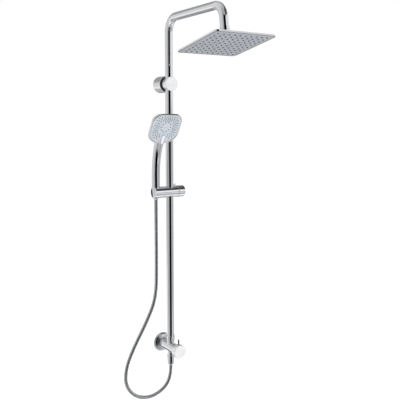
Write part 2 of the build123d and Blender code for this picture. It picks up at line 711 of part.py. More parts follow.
def handset_spigot():
    """Threaded foot of the handle."""
    start = (HOLDER_X, AXIS_Y, HANDLE_BOTTOM_Z)
    thread = rod(start, DOWN, SPIGOT_THREAD_LENGTH, THREAD_R)
    insert = rod(start, Z_AXIS, SPIGOT_INSERT_LENGTH, SPIGOT_INSERT_R - FIT_GAP)
    bore = rod((HOLDER_X, AXIS_Y, HANDLE_BOTTOM_Z - SPIGOT_THREAD_LENGTH - 1), Z_AXIS, THROUGH, SPIGOT_BORE_R)
    return thread + insert - bore


def socket_radius(z):
    """The holder socket's radius at one height."""
    share = (z - (SLIDER_Z - SLIDER_R)) / (2 * SLIDER_R)
    return SOCKET_BOTTOM_R + share * (SOCKET_TOP_R - SOCKET_BOTTOM_R)


def upper_hose_nut():
    """Conical nut under the handle, which rests in the holder's socket."""
    start = (HOLDER_X, AXIS_Y, HANDLE_BOTTOM_Z)
    height = HANDLE_BOTTOM_Z - HOSE_TOP[1]
    straight = HANDLE_BOTTOM_Z - (SLIDER_Z - SLIDER_R)
    profile = [(0, socket_radius(HANDLE_BOTTOM_Z) - SOCKET_GAP),
               (straight, SOCKET_BOTTOM_R - SOCKET_GAP),
               (height, 7.4)]
    nut = turned(start, DOWN, profile)
    nut -= rod(start, DOWN, 14, THREAD_R + FIT_GAP)
    return nut - rod(start, DOWN, THROUGH, HOSE_BORE_R)


def handset_washer():
    """Rubber washer between the handle and the nut."""
    top = (HOLDER_X, AXIS_Y, HANDLE_BOTTOM_Z - SPIGOT_THREAD_LENGTH)
    return pipe(top, DOWN, 2.3, WASHER_R, WASHER_BORE_R)


# ---------------------------------------------------------------------------
# Rain head on its ball joint
# ---------------------------------------------------------------------------

def ball_centre():
    return along(arm_corner(), drop_direction(), BALL_DISTANCE)


def head_frame():
    """The head's own plane: origin at the ball, z up through the plate."""
    tilt = math.radians(HEAD_TILT)
    return Plane(origin=ball_centre(), x_dir=(1, 0, 0), z_dir=(0, math.sin(tilt), math.cos(tilt)))


def ball_stem():
    """Ball, neck and the nut that turns on the arm's nose."""
    corner = arm_corner()
    way = drop_direction()
    nut_start = DROP_LENGTH + ARM_COLLAR_LENGTH + STEM_NUT_GAP
    nut_end = nut_start + STEM_NUT_LENGTH
    nut = rod(along(corner, way, nut_start), way, STEM_NUT_LENGTH, STEM_NUT_R)
    nut -= rod(along(corner, way, nut_start), way, ARM_NOSE_LENGTH - ARM_COLLAR_LENGTH, THREAD_R + RUN_GAP)
    neck = rod(along(corner, way, nut_end - 1), way, BALL_DISTANCE - nut_end, STEM_NECK_R)
    ball = Pos(*ball_centre()) * Sphere(BALL_R)
    return nut + neck + ball - rod(along(corner, way, nut_start), way, THROUGH, STEM_BORE_R)


def ball_seat():
    """Plastic seat under the ball."""
    seat = Pos(0, 0, -7.5) * Cylinder(SEAT_R, 9) - Sphere(BALL_R + RUN_GAP)
    return head_frame() * (seat - Cylinder(SEAT_BORE_R, THROUGH))


def socket_nut():
    """Nut that keeps the ball in its seat."""
    body = turned((0, 0, -8), Z_AXIS, [(0, SOCKET_NUT_R), (9, SOCKET_NUT_R), (14, SOCKET_NUT_R - 5)])
    body -= Pos(0, 0, -4.5) * Cylinder(HUB_R + FIT_GAP, 9)
    body -= Sphere(BALL_R + RUN_GAP)
    return head_frame() * (body - Pos(0, 0, 4) * Cylinder(7.9, 12))


def plate_solid(side, corner, bottom, top):
    return Pos(0, 0, bottom) * extrude(RectangleRounded(side, side, corner), top - bottom)


def head_shell():
    """Thin square top shell with a raised hub and threaded neck."""
    rim = plate_solid(PLATE_SIDE, PLATE_CORNER_R, PLATE_BOTTOM, PLATE_TOP)
    rise = loft([Pos(0, 0, PLATE_TOP) * RectangleRounded(PLATE_SIDE - 3, PLATE_SIDE - 3, PLATE_CORNER_R - 1.5),
                 Pos(0, 0, PLATE_TOP + 3) * RectangleRounded(90, 90, 40)])
    hub_foot = PLATE_TOP + 2
    hub_profile = [(0, 2 * HUB_R), (1.5, 2 * HUB_R), (6.0, HUB_R + 6.5), (6.2, HUB_R),
                   (HUB_TOP - hub_foot, HUB_R)]
    hub = turned((0, 0, hub_foot), Z_AXIS, hub_profile)
    inner_side = PLATE_SIDE - 2 * PLATE_BORDER
    recess = plate_solid(inner_side, PLATE_CORNER_R - PLATE_BORDER, PLATE_BOTTOM - 1,
                         PLATE_BOTTOM + SPRAY_FACE_THICK)
    chamber = plate_solid(inner_side - 6, PLATE_CORNER_R - PLATE_BORDER - 3,
                          PLATE_BOTTOM, PLATE_TOP - SHELL_WALL)
    seat_way = Pos(0, 0, -6) * Cylinder(SEAT_R + FIT_GAP, 12.2)
    water_way = Cylinder(SEAT_BORE_R, THROUGH)
    return head_frame() * (rim + rise + hub - recess - chamber - seat_way - water_way)


def nozzle_grid():
    """Centres of the rain head's square grid of nozzles."""
    first = -NOZZLE_PITCH * (NOZZLE_COUNT - 1) / 2
    steps = [first + NOZZLE_PITCH * k for k in range(NOZZLE_COUNT)]
    return [(x, y) for x in steps for y in steps]


def head_spray_face():
    """Lower plate, drilled for the nozzles."""
    side = PLATE_SIDE - 2 * PLATE_BORDER - 0.2
    plate = plate_solid(side, PLATE_CORNER_R - PLATE_BORDER, PLATE_BOTTOM, PLATE_BOTTOM + SPRAY_FACE_THICK)
    holes = [Pos(x, y, PLATE_BOTTOM) * Cylinder(NOZZLE_HOLE_R, 10) for x, y in nozzle_grid()]
    return head_frame() * (plate - holes)


def head_nozzles():
    """Soft nozzle tips under the plate."""
    tip = Cone(0.74 * NOZZLE_R, NOZZLE_R, NOZZLE_HEIGHT) - Cylinder(NOZZLE_BORE_R, 10)
    z = PLATE_BOTTOM - NOZZLE_HEIGHT / 2
    return [head_frame() * Pos(x, y, z) * tip for x, y in nozzle_grid()]


# ---------------------------------------------------------------------------
# Hose
# ---------------------------------------------------------------------------

def route_points():
    return [Vector(x, AXIS_Y, z) for x, z in HOSE_ROUTE]


def route_radii(points):
    """The largest arc that each corner's two runs allow."""
    radii = []
    for before, corner, after in zip(points, points[1:], points[2:]):
        run_in = corner - before
        run_out = after - corner
        half_turn = math.radians(run_in.get_angle(run_out)) / 2
        shorter = min(run_in.length, run_out.length)
        radii.append(0.45 * shorter / math.tan(half_turn))
    return radii


def hose_tube():
    """Free hose, from below the holder round to the lower nut."""
    points = route_points()
    radii = route_radii(points)
    path = FilletPolyline(*points, radius=radii)
    start = Plane(origin=points[0], z_dir=points[1] - points[0])
    tube = sweep(start * Circle(HOSE_R), path=path)
    swept = math.pi * HOSE_R ** 2 * path.length
    print("hose radii", [round(r) for r in radii])
    print("hose length", round(path.length, 1), "volume / section x length", round(tube.volume / swept, 4))
    return tube


def hose_length_between(top, bottom):
    """One straight length of hose."""
    start = Vector(top[0], AXIS_Y, top[1])
    run = Vector(bottom[0], AXIS_Y, bottom[1]) - start
    return rod(tuple(start), tuple(run.normalized()), run.length, HOSE_R)


# ---------------------------------------------------------------------------
# All nodes
# ---------------------------------------------------------------------------

os.makedirs("parts", exist_ok=True)

save("wall_inlet", wall_inlet())
save("lower_rosette", lower_rosette())
save("rosette_seal", rosette_seal())
save("diverter_body", diverter_body())
save("neck_nut", neck_nut())
save("diverter_cartridge", diverter_cartridge())
save("diverter_spindle", diverter_spindle())
save("diverter_knob", diverter_knob())
save("knob_pin", knob_pin())
save("knob_inlay", knob_inlay())
save("lower_hose_nut", lower_hose_nut())
save("outlet_washer", outlet_washer())

save("riser_tube", riser_tube())
save("gooseneck_arm", gooseneck_arm())
save("joining_sleeve", joining_sleeve())
save("sleeve_seals", *sleeve_seals())
save("arm_end_fitting", arm_end_fitting())

save("wall_disc", wall_disc())
save("wall_screw_lower", wall_screw(BRACKET_Z - SCREW_RISE))
save("wall_screw_upper", wall_screw(BRACKET_Z + SCREW_RISE))
save("bracket_cup", bracket_cup())
save("cup_ring", cup_ring())
save("bracket_grub_screw", bracket_grub_screw())
save("bracket_body", bracket_body())
save("tube_clamp_screw", tube_clamp_screw())
save("bracket_cap", bracket_cap())

save("slider_body", slider_body())
save("slider_bush", slider_bush())
save("clamp_knob", clamp_knob())
save("clamp_stem", clamp_stem())
save("release_button", release_button())
save("handset_holder", handset_holder())
save("jaw_pad", jaw_pad())
save("holder_pivot", holder_pivot())

save("handset_shell", handset_shell())
save("handset_rim", handset_rim())
save("handset_spray_plate", handset_spray_plate())
save("handset_water_box", handset_water_box())
save("handset_outer_nozzles", *spray_nipples(outer_nozzle_points(), 1.5, 0.7))
save("handset_inner_nozzles", *spray_nipples(inner_nozzle_points(), 2.4, 0.8))
save("selector_lever", selector_lever())
save("handset_spigot", handset_spigot())
save("upper_hose_nut", upper_hose_nut())
save("handset_washer", handset_washer())

save("ball_stem", ball_stem())
save("ball_seat", ball_seat())
save("socket_nut", socket_nut())
save("head_shell", head_shell())
save("head_spray_face", head_spray_face())
save("head_nozzles", *head_nozzles())

save("hose_tube", hose_tube())
save("hose_upper_length", hose_length_between(HOSE_TOP_JOIN, HOSE_UPPER_JOIN))
save("hose_top_length", hose_length_between(HOSE_TOP, HOSE_TOP_JOIN))
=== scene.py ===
import json
import math
from functools import reduce

import bmesh
import bpy
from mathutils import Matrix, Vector


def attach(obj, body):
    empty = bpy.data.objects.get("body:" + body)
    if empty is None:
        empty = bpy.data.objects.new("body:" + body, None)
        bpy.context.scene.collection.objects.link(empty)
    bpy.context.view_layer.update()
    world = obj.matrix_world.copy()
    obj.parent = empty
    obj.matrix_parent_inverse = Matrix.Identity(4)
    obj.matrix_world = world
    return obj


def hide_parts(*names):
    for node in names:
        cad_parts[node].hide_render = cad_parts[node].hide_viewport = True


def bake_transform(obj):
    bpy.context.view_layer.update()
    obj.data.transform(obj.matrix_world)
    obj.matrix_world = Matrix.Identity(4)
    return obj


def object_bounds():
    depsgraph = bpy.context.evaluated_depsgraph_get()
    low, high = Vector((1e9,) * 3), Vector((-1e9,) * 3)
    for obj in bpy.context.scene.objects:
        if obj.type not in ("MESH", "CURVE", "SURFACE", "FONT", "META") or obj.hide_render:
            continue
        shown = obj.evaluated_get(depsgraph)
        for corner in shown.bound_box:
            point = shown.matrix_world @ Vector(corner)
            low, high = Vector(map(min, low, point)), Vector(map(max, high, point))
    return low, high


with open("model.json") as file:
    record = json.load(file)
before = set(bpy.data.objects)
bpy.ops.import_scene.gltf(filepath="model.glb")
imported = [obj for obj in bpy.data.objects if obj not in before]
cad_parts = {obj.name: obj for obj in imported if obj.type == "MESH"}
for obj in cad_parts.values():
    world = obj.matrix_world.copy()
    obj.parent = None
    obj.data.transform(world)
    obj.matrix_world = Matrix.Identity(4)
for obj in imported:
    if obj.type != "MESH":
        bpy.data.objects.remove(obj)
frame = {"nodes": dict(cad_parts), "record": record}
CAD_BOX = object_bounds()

NODES = frame["nodes"]

# ---------------------------------------------------------------------------
# Dimensions, in metres, in the CAD frame
# ---------------------------------------------------------------------------

AXIS_Y = -0.060
TUBE_R = 0.0125
TUBE_WALL = 0.0015
RISER_BOTTOM_Z = 0.020
BRACKET_Z = 0.880
ARM_Z = 1.086
ARM_REACH = 0.301
BEND_R = 0.045
DROP_LEAN = math.radians(8.0)
DROP_LENGTH = 0.0646
HOLDER_X = -0.052
HOSE_R = 0.006

FACE_CENTRE = Vector((HOLDER_X, -0.130, 0.742))
FACE_TILT = math.radians(32.5)

X_AXIS = Vector((1, 0, 0))
Y_AXIS = Vector((0, 1, 0))
Z_AXIS = Vector((0, 0, 1))

# ---------------------------------------------------------------------------
# Camera
# ---------------------------------------------------------------------------

CAMERA_PLACE = Vector((-1.0166, -1.8216, 0.7612))
CAMERA_LOOK = Vector((0.5374, 0.8338, -0.1262))

camera_data = bpy.data.cameras.new("camera")
camera_data.lens = 55.78
camera_data.sensor_width = 36.0
camera_data.clip_start = 0.05
camera_data.clip_end = 60.0
camera = bpy.data.objects.new("camera", camera_data)
camera.location = CAMERA_PLACE
camera.rotation_mode = "QUATERNION"
camera.rotation_quaternion = CAMERA_LOOK.to_track_quat("-Z", "Y")
bpy.context.scene.collection.objects.link(camera)
bpy.context.scene.camera = camera
bpy.context.scene.view_settings.view_transform = "Standard"


# ---------------------------------------------------------------------------
# Materials
# ---------------------------------------------------------------------------

NOISE_LOW = 0.3           # most of a noise's values lie between these two
NOISE_HIGH = 0.7
POLISH_SCALE = 900
POLISH_STRETCH = (1, 1, 0.1)
POLISH_DEPTH = 0.00005
GRAIN_SCALE = 1800
GRAIN_DEPTH = 0.00008


class Material:
    """A node material built round one Principled shader."""

    def __init__(self, name, **sockets):
        self.made = bpy.data.materials.new(name)
        self.made.use_nodes = True
        self.nodes = self.made.node_tree.nodes
        self.links = self.made.node_tree.links
        self.shader = self.nodes["Principled BSDF"]
        self.coords = self.nodes.new("ShaderNodeTexCoord").outputs["Object"]
        for socket, value in sockets.items():
            self.shader.inputs[socket.replace("_", " ")].default_value = value

    def noise(self, scale, detail, stretch=(1, 1, 1)):
        mapping = self.nodes.new("ShaderNodeMapping")
        mapping.inputs["Scale"].default_value = stretch
        self.links.new(self.coords, mapping.inputs["Vector"])
        noise = self.nodes.new("ShaderNodeTexNoise")
        noise.inputs["Scale"].default_value = scale
        noise.inputs["Detail"].default_value = detail
        self.links.new(mapping.outputs["Vector"], noise.inputs["Vector"])
        return noise.outputs["Fac"]

    def tones(self, fac, dark, light):
        """A noise's values as colours from dark to light."""
        ramp = self.nodes.new("ShaderNodeValToRGB")
        stops = ((NOISE_LOW, dark), (NOISE_HIGH, light))
        for element, (position, colour) in zip(ramp.color_ramp.elements, stops):
            element.position = position
            element.color = (*colour, 1)
        self.links.new(fac, ramp.inputs["Fac"])
        return ramp.outputs["Color"]

    def spread(self, fac, low, high):
        """A noise's values spread from low to high."""
        spread = self.nodes.new("ShaderNodeMapRange")
        spread.inputs["From Min"].default_value = NOISE_LOW
        spread.inputs["From Max"].default_value = NOISE_HIGH
        spread.inputs["To Min"].default_value = low
        spread.inputs["To Max"].default_value = high
        self.links.new(fac, spread.inputs["Value"])
        return spread.outputs["Result"]

    def bump(self, height, strength, distance):
        bump = self.nodes.new("ShaderNodeBump")
        bump.inputs["Strength"].default_value = strength
        bump.inputs["Distance"].default_value = distance
        self.links.new(height, bump.inputs["Height"])
        self.links.new(bump.outputs["Normal"], self.shader.inputs["Normal"])

    def into(self, output, socket):
        self.links.new(output, self.shader.inputs[socket])


def metal(name, bright, dull, rough_low, rough_high, scale=55, bump=0.0, metallic=1.0):
    """Plated or bare metal with faint clouding, water film and polishing marks."""
    m = Material(name, Metallic=metallic)
    m.into(m.tones(m.noise(scale, 4), dull, bright), "Base Color")
    m.into(m.spread(m.noise(scale * 3, 5), rough_low, rough_high), "Roughness")
    if bump:
        m.bump(m.noise(POLISH_SCALE, 2, stretch=POLISH_STRETCH), bump, POLISH_DEPTH)
    return m.made


def plastic(name, light, dark, rough_low, rough_high, scale=60, grain=0.08, **sockets):
    """Moulded plastic or rubber with a fine grain."""
    m = Material(name, **sockets)
    m.into(m.tones(m.noise(scale, 4), dark, light), "Base Color")
    m.into(m.spread(m.noise(scale * 2, 3), rough_low, rough_high), "Roughness")
    m.bump(m.noise(GRAIN_SCALE, 2), grain, GRAIN_DEPTH)
    return m.made


CHROME = metal("chrome", (0.86, 0.87, 0.88), (0.82, 0.83, 0.84), 0.03, 0.07, bump=0.02)
CHROME_PLASTIC = metal("chrome_plastic", (0.84, 0.85, 0.87), (0.80, 0.81, 0.83), 0.05, 0.09)
# A brighter, half-diffuse copy of chrome: painted reflection, standing in for the brighter reflections that
# the bracket cap and diverter knob catch.
PAINTED_REFLECTION_CHROME = metal("painted_reflection_chrome", (0.88, 0.89, 0.90), (0.84, 0.85, 0.86), 0.10, 0.16, metallic=0.5)
SATIN = metal("satin_chrome", (0.84, 0.86, 0.88), (0.78, 0.80, 0.82), 0.26, 0.34)
BRASS = metal("brass", (0.80, 0.62, 0.30), (0.66, 0.48, 0.20), 0.22, 0.38, bump=0.1)
STEEL = metal("steel", (0.62, 0.62, 0.63), (0.50, 0.50, 0.52), 0.25, 0.38, bump=0.1)
HOSE_METAL = metal("hose_metal", (0.62, 0.63, 0.64), (0.52, 0.53, 0.54), 0.22, 0.32)
RUBBER = plastic("black_rubber", (0.035, 0.035, 0.037), (0.02, 0.02, 0.022), 0.55, 0.75)
SILICONE = plastic("grey_silicone", (0.17, 0.19, 0.22), (0.12, 0.13, 0.15), 0.45, 0.6)
SPRAY_FACE = plastic("spray_face", (0.58, 0.62, 0.67), (0.52, 0.56, 0.61), 0.22, 0.32, grain=0.04)
SPRAY_NOZZLE = plastic("spray_nozzle", (0.21, 0.24, 0.27), (0.17, 0.19, 0.22), 0.4, 0.55)
GUNMETAL = metal("gunmetal", (0.16, 0.165, 0.17), (0.12, 0.125, 0.13), 0.2, 0.3)
HEAD_FACE = plastic("head_face", (0.40, 0.42, 0.45), (0.36, 0.38, 0.41), 0.24, 0.34, grain=0.04)
WHITE_PLASTIC = plastic("white_plastic", (0.86, 0.87, 0.88), (0.80, 0.81, 0.82), 0.28, 0.38)
GREY_PLASTIC = plastic("grey_plastic", (0.34, 0.35, 0.37), (0.27, 0.28, 0.30), 0.4, 0.55)
CERAMIC = plastic("ceramic", (0.88, 0.86, 0.82), (0.82, 0.80, 0.76), 0.2, 0.3)

MATERIALS = {
    "chrome": CHROME, "chrome_plastic": CHROME_PLASTIC, "brass": BRASS, "steel": STEEL,
    "black_rubber": RUBBER, "grey_silicone": SILICONE, "spray_face": SPRAY_FACE,
    "white_plastic": WHITE_PLASTIC, "grey_plastic": GREY_PLASTIC, "ceramic": CERAMIC,
    "hose_steel": HOSE_METAL,
}

SLOT_OF = {row["node"]: row["material_slot"] for row in frame["record"]["subparts"]}


def finish_node(name, material):
    """Gives a CAD node its material."""
    mesh = NODES[name].data
    mesh.materials.clear()
    mesh.materials.append(material)


# ---------------------------------------------------------------------------
# Mesh helpers
# ---------------------------------------------------------------------------

def piece(name, mesh, material, body, slot, *nodes, smooth=35.0):
    """Links a mesh as a piece that rides on a body and stands for some CAD nodes."""
    mesh.materials.append(material)
    mesh.polygons.foreach_set("use_smooth", [True] * len(mesh.polygons))
    mesh.set_sharp_from_angle(angle=math.radians(smooth))
    made = bpy.data.objects.new(name, mesh)
    bpy.context.scene.collection.objects.link(made)
    if body:
        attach(made, body)
    if nodes:
        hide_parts(*nodes)
    return made


def frames_along(points):
    """A moving pair of side vectors that doesn't twist along a line of points."""
    tangents = []
    for k in range(len(points)):
        a, b = points[max(k - 1, 0)], points[min(k + 1, len(points) - 1)]
        tangents.append((b - a).normalized())
    side = tangents[0].orthogonal().normalized()
    if abs(tangents[0].y) < 0.9:
        side = (Y_AXIS - tangents[0] * Y_AXIS.dot(tangents[0])).normalized()
    frames = []
    for tangent in tangents:
        side = (side - tangent * side.dot(tangent)).normalized()
        frames.append((side, tangent.cross(side)))
    return frames


def skin(rings, closed_loop=False):
    """Faces between successive rings of points, with an end cap each or the last joined to the first."""
    mesh = bpy.data.meshes.new("skin")
    made = bmesh.new()
    rows = [[made.verts.new(p) for p in ring] for ring in rings]
    pairs = list(zip(rows, rows[1:]))
    if closed_loop:
        pairs.append((rows[-1], rows[0]))
    for a, b in pairs:
        n = len(a)
        for k in range(n):
            made.faces.new((a[k], a[(k + 1) % n], b[(k + 1) % n], b[k]))
    if not closed_loop:
        made.faces.new(list(reversed(rows[0])))
        made.faces.new(rows[-1])
    bmesh.ops.recalc_face_normals(made, faces=made.faces)
    made.to_mesh(mesh)
    made.free()
    return mesh


def tube(points, radii, sides):
    """A round tube with its own radius at each point of a line."""
    rings = []
    for point, radius, (u, v) in zip(points, radii, frames_along(points)):
        ring = []
        for k in range(sides):
            angle = 2 * math.pi * k / sides
            ring.append(point + radius * (u * math.cos(angle) + v * math.sin(angle)))
        rings.append(ring)
    return skin(rings)


# ---------------------------------------------------------------------------
# Hose
# ---------------------------------------------------------------------------

HOSE_TOP_Z = 0.508
HOSE_TOP_JOIN_Z = 0.470
HOSE_UPPER_JOIN_Z = 0.388
HOSE_BOTTOM_Z = -0.062
HOSE_UPPER_MIDDLE_Z = 0.429
HOSE_TOP_MIDDLE_Z = 0.489
HOSE_ROUTE = [
    (0.0, HOSE_BOTTOM_Z),
    (0.0, -0.103),
    (-0.025, -0.143),
    (-0.080, -0.1635),
    (-0.137, -0.146),
    (-0.172, -0.099),
    (-0.169, -0.039),
    (-0.1375, 0.027),
    (-0.0945, 0.097),
    (-0.0546, 0.178),
    (HOLDER_X, 0.300),
    (HOLDER_X, HOSE_UPPER_JOIN_Z),
]
RIB_PITCH = 0.0036
RIB_DEPTH = 0.00035
RIB_STEPS = 5
HOSE_SIDES = 20
HOSE_SMOOTH = 60.0        # degrees
SPLINE_STEPS = 24


def spline_line(points):
    """The smooth line of a NURBS spline through its control points."""
    curve = bpy.data.curves.new("route", "CURVE")
    curve.dimensions = "3D"
    spline = curve.splines.new("NURBS")
    spline.points.add(len(points) - 1)
    for point, place in zip(spline.points, points):
        point.co = (*place, 1)
    spline.order_u = 3
    spline.use_endpoint_u = True
    curve.resolution_u = SPLINE_STEPS
    route = bpy.data.objects.new("route", curve)
    bpy.context.scene.collection.objects.link(route)
    bpy.context.view_layer.update()
    graph = bpy.context.evaluated_depsgraph_get()
    mesh = bpy.data.meshes.new_from_object(route.evaluated_get(graph))
    line = [v.co.copy() for v in mesh.vertices]
    bpy.data.objects.remove(route)
    bpy.data.meshes.remove(mesh)
    return line


def length_of(line):
    return sum((b - a).length for a, b in zip(line, line[1:]))


def even_line(line, step):
    """The same line with its points an even step apart."""
    total = length_of(line)
    count = max(2, round(total / step))
    made, travelled, k = [line[0].copy()], 0.0, 0
    for n in range(1, count):
        target = total * n / count
        while travelled + (line[k + 1] - line[k]).length < target:
            travelled += (line[k + 1] - line[k]).length
            k += 1
        share = (target - travelled) / (line[k + 1] - line[k]).length
        made.append(line[k].lerp(line[k + 1], share))
    made.append(line[-1].copy())
    return made


def ribbed_hose(line):
    """A metal hose, rounded ribs with a narrow groove after each: its path and its mesh."""
    ribs = max(1, round(length_of(line) / RIB_PITCH))
    fine = even_line(line, length_of(line) / (ribs * RIB_STEPS))
    radii = []
    for k in range(len(fine)):
        phase = (k % RIB_STEPS) / RIB_STEPS
        radii.append(HOSE_R - RIB_DEPTH * (1 - math.sin(math.pi * phase) ** 0.5))
    return fine, tube(fine, radii, HOSE_SIDES)


hose_line = spline_line([(x, AXIS_Y, z) for x, z in HOSE_ROUTE])
hose_path, hose_mesh = ribbed_hose(hose_line)
hose = piece("hose", hose_mesh, HOSE_METAL, None, "hose_steel", "hose_tube", smooth=HOSE_SMOOTH)
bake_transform(hose)

upper_line = spline_line([(HOLDER_X, AXIS_Y, HOSE_UPPER_JOIN_Z),
                          (HOLDER_X, AXIS_Y, HOSE_UPPER_MIDDLE_Z),
                          (HOLDER_X, AXIS_Y, HOSE_TOP_JOIN_Z)])
upper_path, upper_mesh = ribbed_hose(upper_line)
hose_upper = piece("hose_upper", upper_mesh, HOSE_METAL, None, "hose_steel", "hose_upper_length",
                   smooth=HOSE_SMOOTH)
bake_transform(hose_upper)

top_line = spline_line([(HOLDER_X, AXIS_Y, HOSE_TOP_JOIN_Z),
                        (HOLDER_X, AXIS_Y, HOSE_TOP_MIDDLE_Z),
                        (HOLDER_X, AXIS_Y, HOSE_TOP_Z)])
_, top_mesh = ribbed_hose(top_line)
hose_top = piece("hose_top", top_mesh, HOSE_METAL, None, "hose_steel", "hose_top_length",
                 smooth=HOSE_SMOOTH)
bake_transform(hose_top)

[tuple(p) for p in hose_path]
[tuple(p) for p in upper_path]

# ---------------------------------------------------------------------------
# CAD nodes that keep their shape
# ---------------------------------------------------------------------------

for name in NODES:
    finish_node(name, MATERIALS[SLOT_OF[name]])
finish_node("head_spray_face", HEAD_FACE)
finish_node("knob_pin", GUNMETAL)
# The cap, knob and inlay take the brighter copy of chrome: painted reflection, not a finish of their own.
for name in ("bracket_cap", "diverter_knob", "knob_inlay"):
    finish_node(name, PAINTED_REFLECTION_CHROME)

# ---------------------------------------------------------------------------
# Riser and gooseneck arm
# ---------------------------------------------------------------------------

TUBE_SIDES = 96
BEND_STEPS = 28


def hollow_tube(line, outer_r, inner_r):
    """A thin-walled tube along a line."""
    rings = []
    frames = frames_along(line)
    for radius, order in ((outer_r, range(len(line))), (inner_r, reversed(range(len(line))))):
        for k in order:
            u, v = frames[k]
            angles = [2 * math.pi * n / TUBE_SIDES for n in range(TUBE_SIDES)]
            rings.append([line[k] + radius * (u * math.cos(a) + v * math.sin(a)) for a in angles])
    return skin(rings, closed_loop=True)


def bend(centre_y, centre_z, first, last):
    """Points round one bend of the arm, between two angles in degrees."""
    angles = [math.radians(first + (last - first) * n / BEND_STEPS) for n in range(BEND_STEPS + 1)]
    return [Vector((0, centre_y + BEND_R * math.cos(a), centre_z + BEND_R * math.sin(a))) for a in angles]


def arm_line():
    """The gooseneck's centre line: up, over and down to the rain head."""
    outlet_y = AXIS_Y - ARM_REACH
    turn = math.pi / 2 - DROP_LEAN
    outer_bend_y = outlet_y + BEND_R * math.tan(turn / 2)
    line = [Vector((0, AXIS_Y, BRACKET_Z))]
    line += bend(AXIS_Y - BEND_R, ARM_Z - BEND_R, 0, 90)
    line += bend(outer_bend_y, ARM_Z - BEND_R, 90, 90 + math.degrees(turn))
    line.append(Vector((0, outlet_y - DROP_LENGTH * math.sin(DROP_LEAN),
                        ARM_Z - DROP_LENGTH * math.cos(DROP_LEAN))))
    return line


riser_line = [Vector((0, AXIS_Y, RISER_BOTTOM_Z)), Vector((0, AXIS_Y, BRACKET_Z))]
piece("riser", hollow_tube(riser_line, TUBE_R, TUBE_R - TUBE_WALL), CHROME, "column",
      SLOT_OF["riser_tube"], "riser_tube")
piece("arm", hollow_tube(arm_line(), TUBE_R, TUBE_R - TUBE_WALL), CHROME, "column",
      SLOT_OF["gooseneck_arm"], "gooseneck_arm")

# ---------------------------------------------------------------------------
# Turned pieces
# ---------------------------------------------------------------------------

LATHE_SIDES = 128
FILLET_STEPS = 5
TO_FRONT = Vector((0, -1, 0))


def rounded_section(section):
    """A closed section of (along, radius, rounding) corners, each corner rounded by its own size."""
    made = []
    count = len(section)
    for k, (along, radius, rounding) in enumerate(section):
        here = Vector((along, radius))
        if not rounding:
            made.append(here)
            continue
        before = (Vector(section[k - 1][:2]) - here).normalized()
        after = (Vector(section[(k + 1) % count][:2]) - here).normalized()
        half = before.angle(after) / 2
        middle = here + (before + after).normalized() * rounding / math.sin(half)
        start = (here + before * rounding / math.tan(half) - middle).normalized()
        end = (here + after * rounding / math.tan(half) - middle).normalized()
        made += [middle + start.slerp(end, n / FILLET_STEPS) * rounding for n in range(FILLET_STEPS + 1)]
    return made


def lathe(start, direction, section):
    """A ring-shaped solid: the closed section turned about a line."""
    side = direction.orthogonal().normalized()
    other = direction.cross(side)
    rings = []
    for point in rounded_section(section):
        ring = []
        for k in range(LATHE_SIDES):
            angle = 2 * math.pi * k / LATHE_SIDES
            outward = side * math.cos(angle) + other * math.sin(angle)
            ring.append(start + direction * point.x + outward * point.y)
        rings.append(ring)
    return skin(rings, closed_loop=True)


# along the axis from the wall, radius, rounding
ROSETTE_SECTION = [
    (0.0, 0.0300, 0), (0.0, 0.0330, 0.0006), (0.0036, 0.0330, 0.0010), (0.0074, 0.0285, 0.0080),
    (0.0094, 0.0230, 0.0120), (0.0103, 0.0180, 0.0004), (0.0103, 0.0172, 0), (0.0030, 0.0172, 0),
    (0.0030, 0.0300, 0),
]
piece("rosette", lathe(Vector((0, 0, 0)), TO_FRONT, ROSETTE_SECTION), SATIN, "column",
      SLOT_OF["lower_rosette"], "lower_rosette", smooth=40)

# ---------------------------------------------------------------------------
# Handset: rounded rim and soft nozzles
# ---------------------------------------------------------------------------

FACE_NORMAL = Vector((0, -math.cos(FACE_TILT), -math.sin(FACE_TILT)))
FACE_UP = Vector((0, -math.sin(FACE_TILT), math.cos(FACE_TILT)))
FACE_CORNERS = [   # to the right, up the face, corner radius
    (0.0524, 0.0445, 0.028), (0.0524, -0.041, 0.033), (0.023, -0.060, 0.020),
    (-0.023, -0.060, 0.020), (-0.0524, -0.041, 0.033), (-0.0524, 0.0445, 0.028),
]
CORNER_STEPS = 16
RIM_DEPTH = 0.007
RIM_WIDTH = 0.005
RIM_OUTER_ROUND = 0.0024
RIM_INNER_ROUND = 0.0014
ROUND_STEPS = 7
PLATE_SINK = 0.001


def on_face(across, up, depth):
    """A point a depth behind the spray face's plane."""
    return FACE_CENTRE + X_AXIS * across + FACE_UP * up - FACE_NORMAL * depth


def face_outline(inset):
    """The head's outline, moved in by a distance, as (across, up) points."""
    outline = []
    count = len(FACE_CORNERS)
    for k, (across, up, radius) in enumerate(FACE_CORNERS):
        here = Vector((across, up))
        before = (Vector(FACE_CORNERS[k - 1][:2]) - here).normalized()
        after = (Vector(FACE_CORNERS[(k + 1) % count][:2]) - here).normalized()
        half = before.angle(after) / 2
        middle = here + (before + after).normalized() * radius / math.sin(half)
        start = (here + before * radius / math.tan(half) - middle).normalized()
        end = (here + after * radius / math.tan(half) - middle).normalized()
        for step in range(CORNER_STEPS + 1):
            outline.append(middle + start.slerp(end, step / CORNER_STEPS) * (radius - inset))
    return outline


def rim_profile():
    """The rim's section as (inset, depth) pairs, both front edges rounded."""
    profile = [(0.0, RIM_DEPTH)]
    for step in range(ROUND_STEPS + 1):
        angle = math.pi / 2 * step / ROUND_STEPS
        profile.append((RIM_OUTER_ROUND * (1 - math.cos(angle)), RIM_OUTER_ROUND * (1 - math.sin(angle))))
    for step in range(ROUND_STEPS + 1):
        angle = math.pi / 2 * step / ROUND_STEPS
        profile.append((RIM_WIDTH - RIM_INNER_ROUND * (1 - math.sin(angle)),
                        RIM_INNER_ROUND * (1 - math.cos(angle))))
    profile.append((RIM_WIDTH, RIM_DEPTH))
    return profile


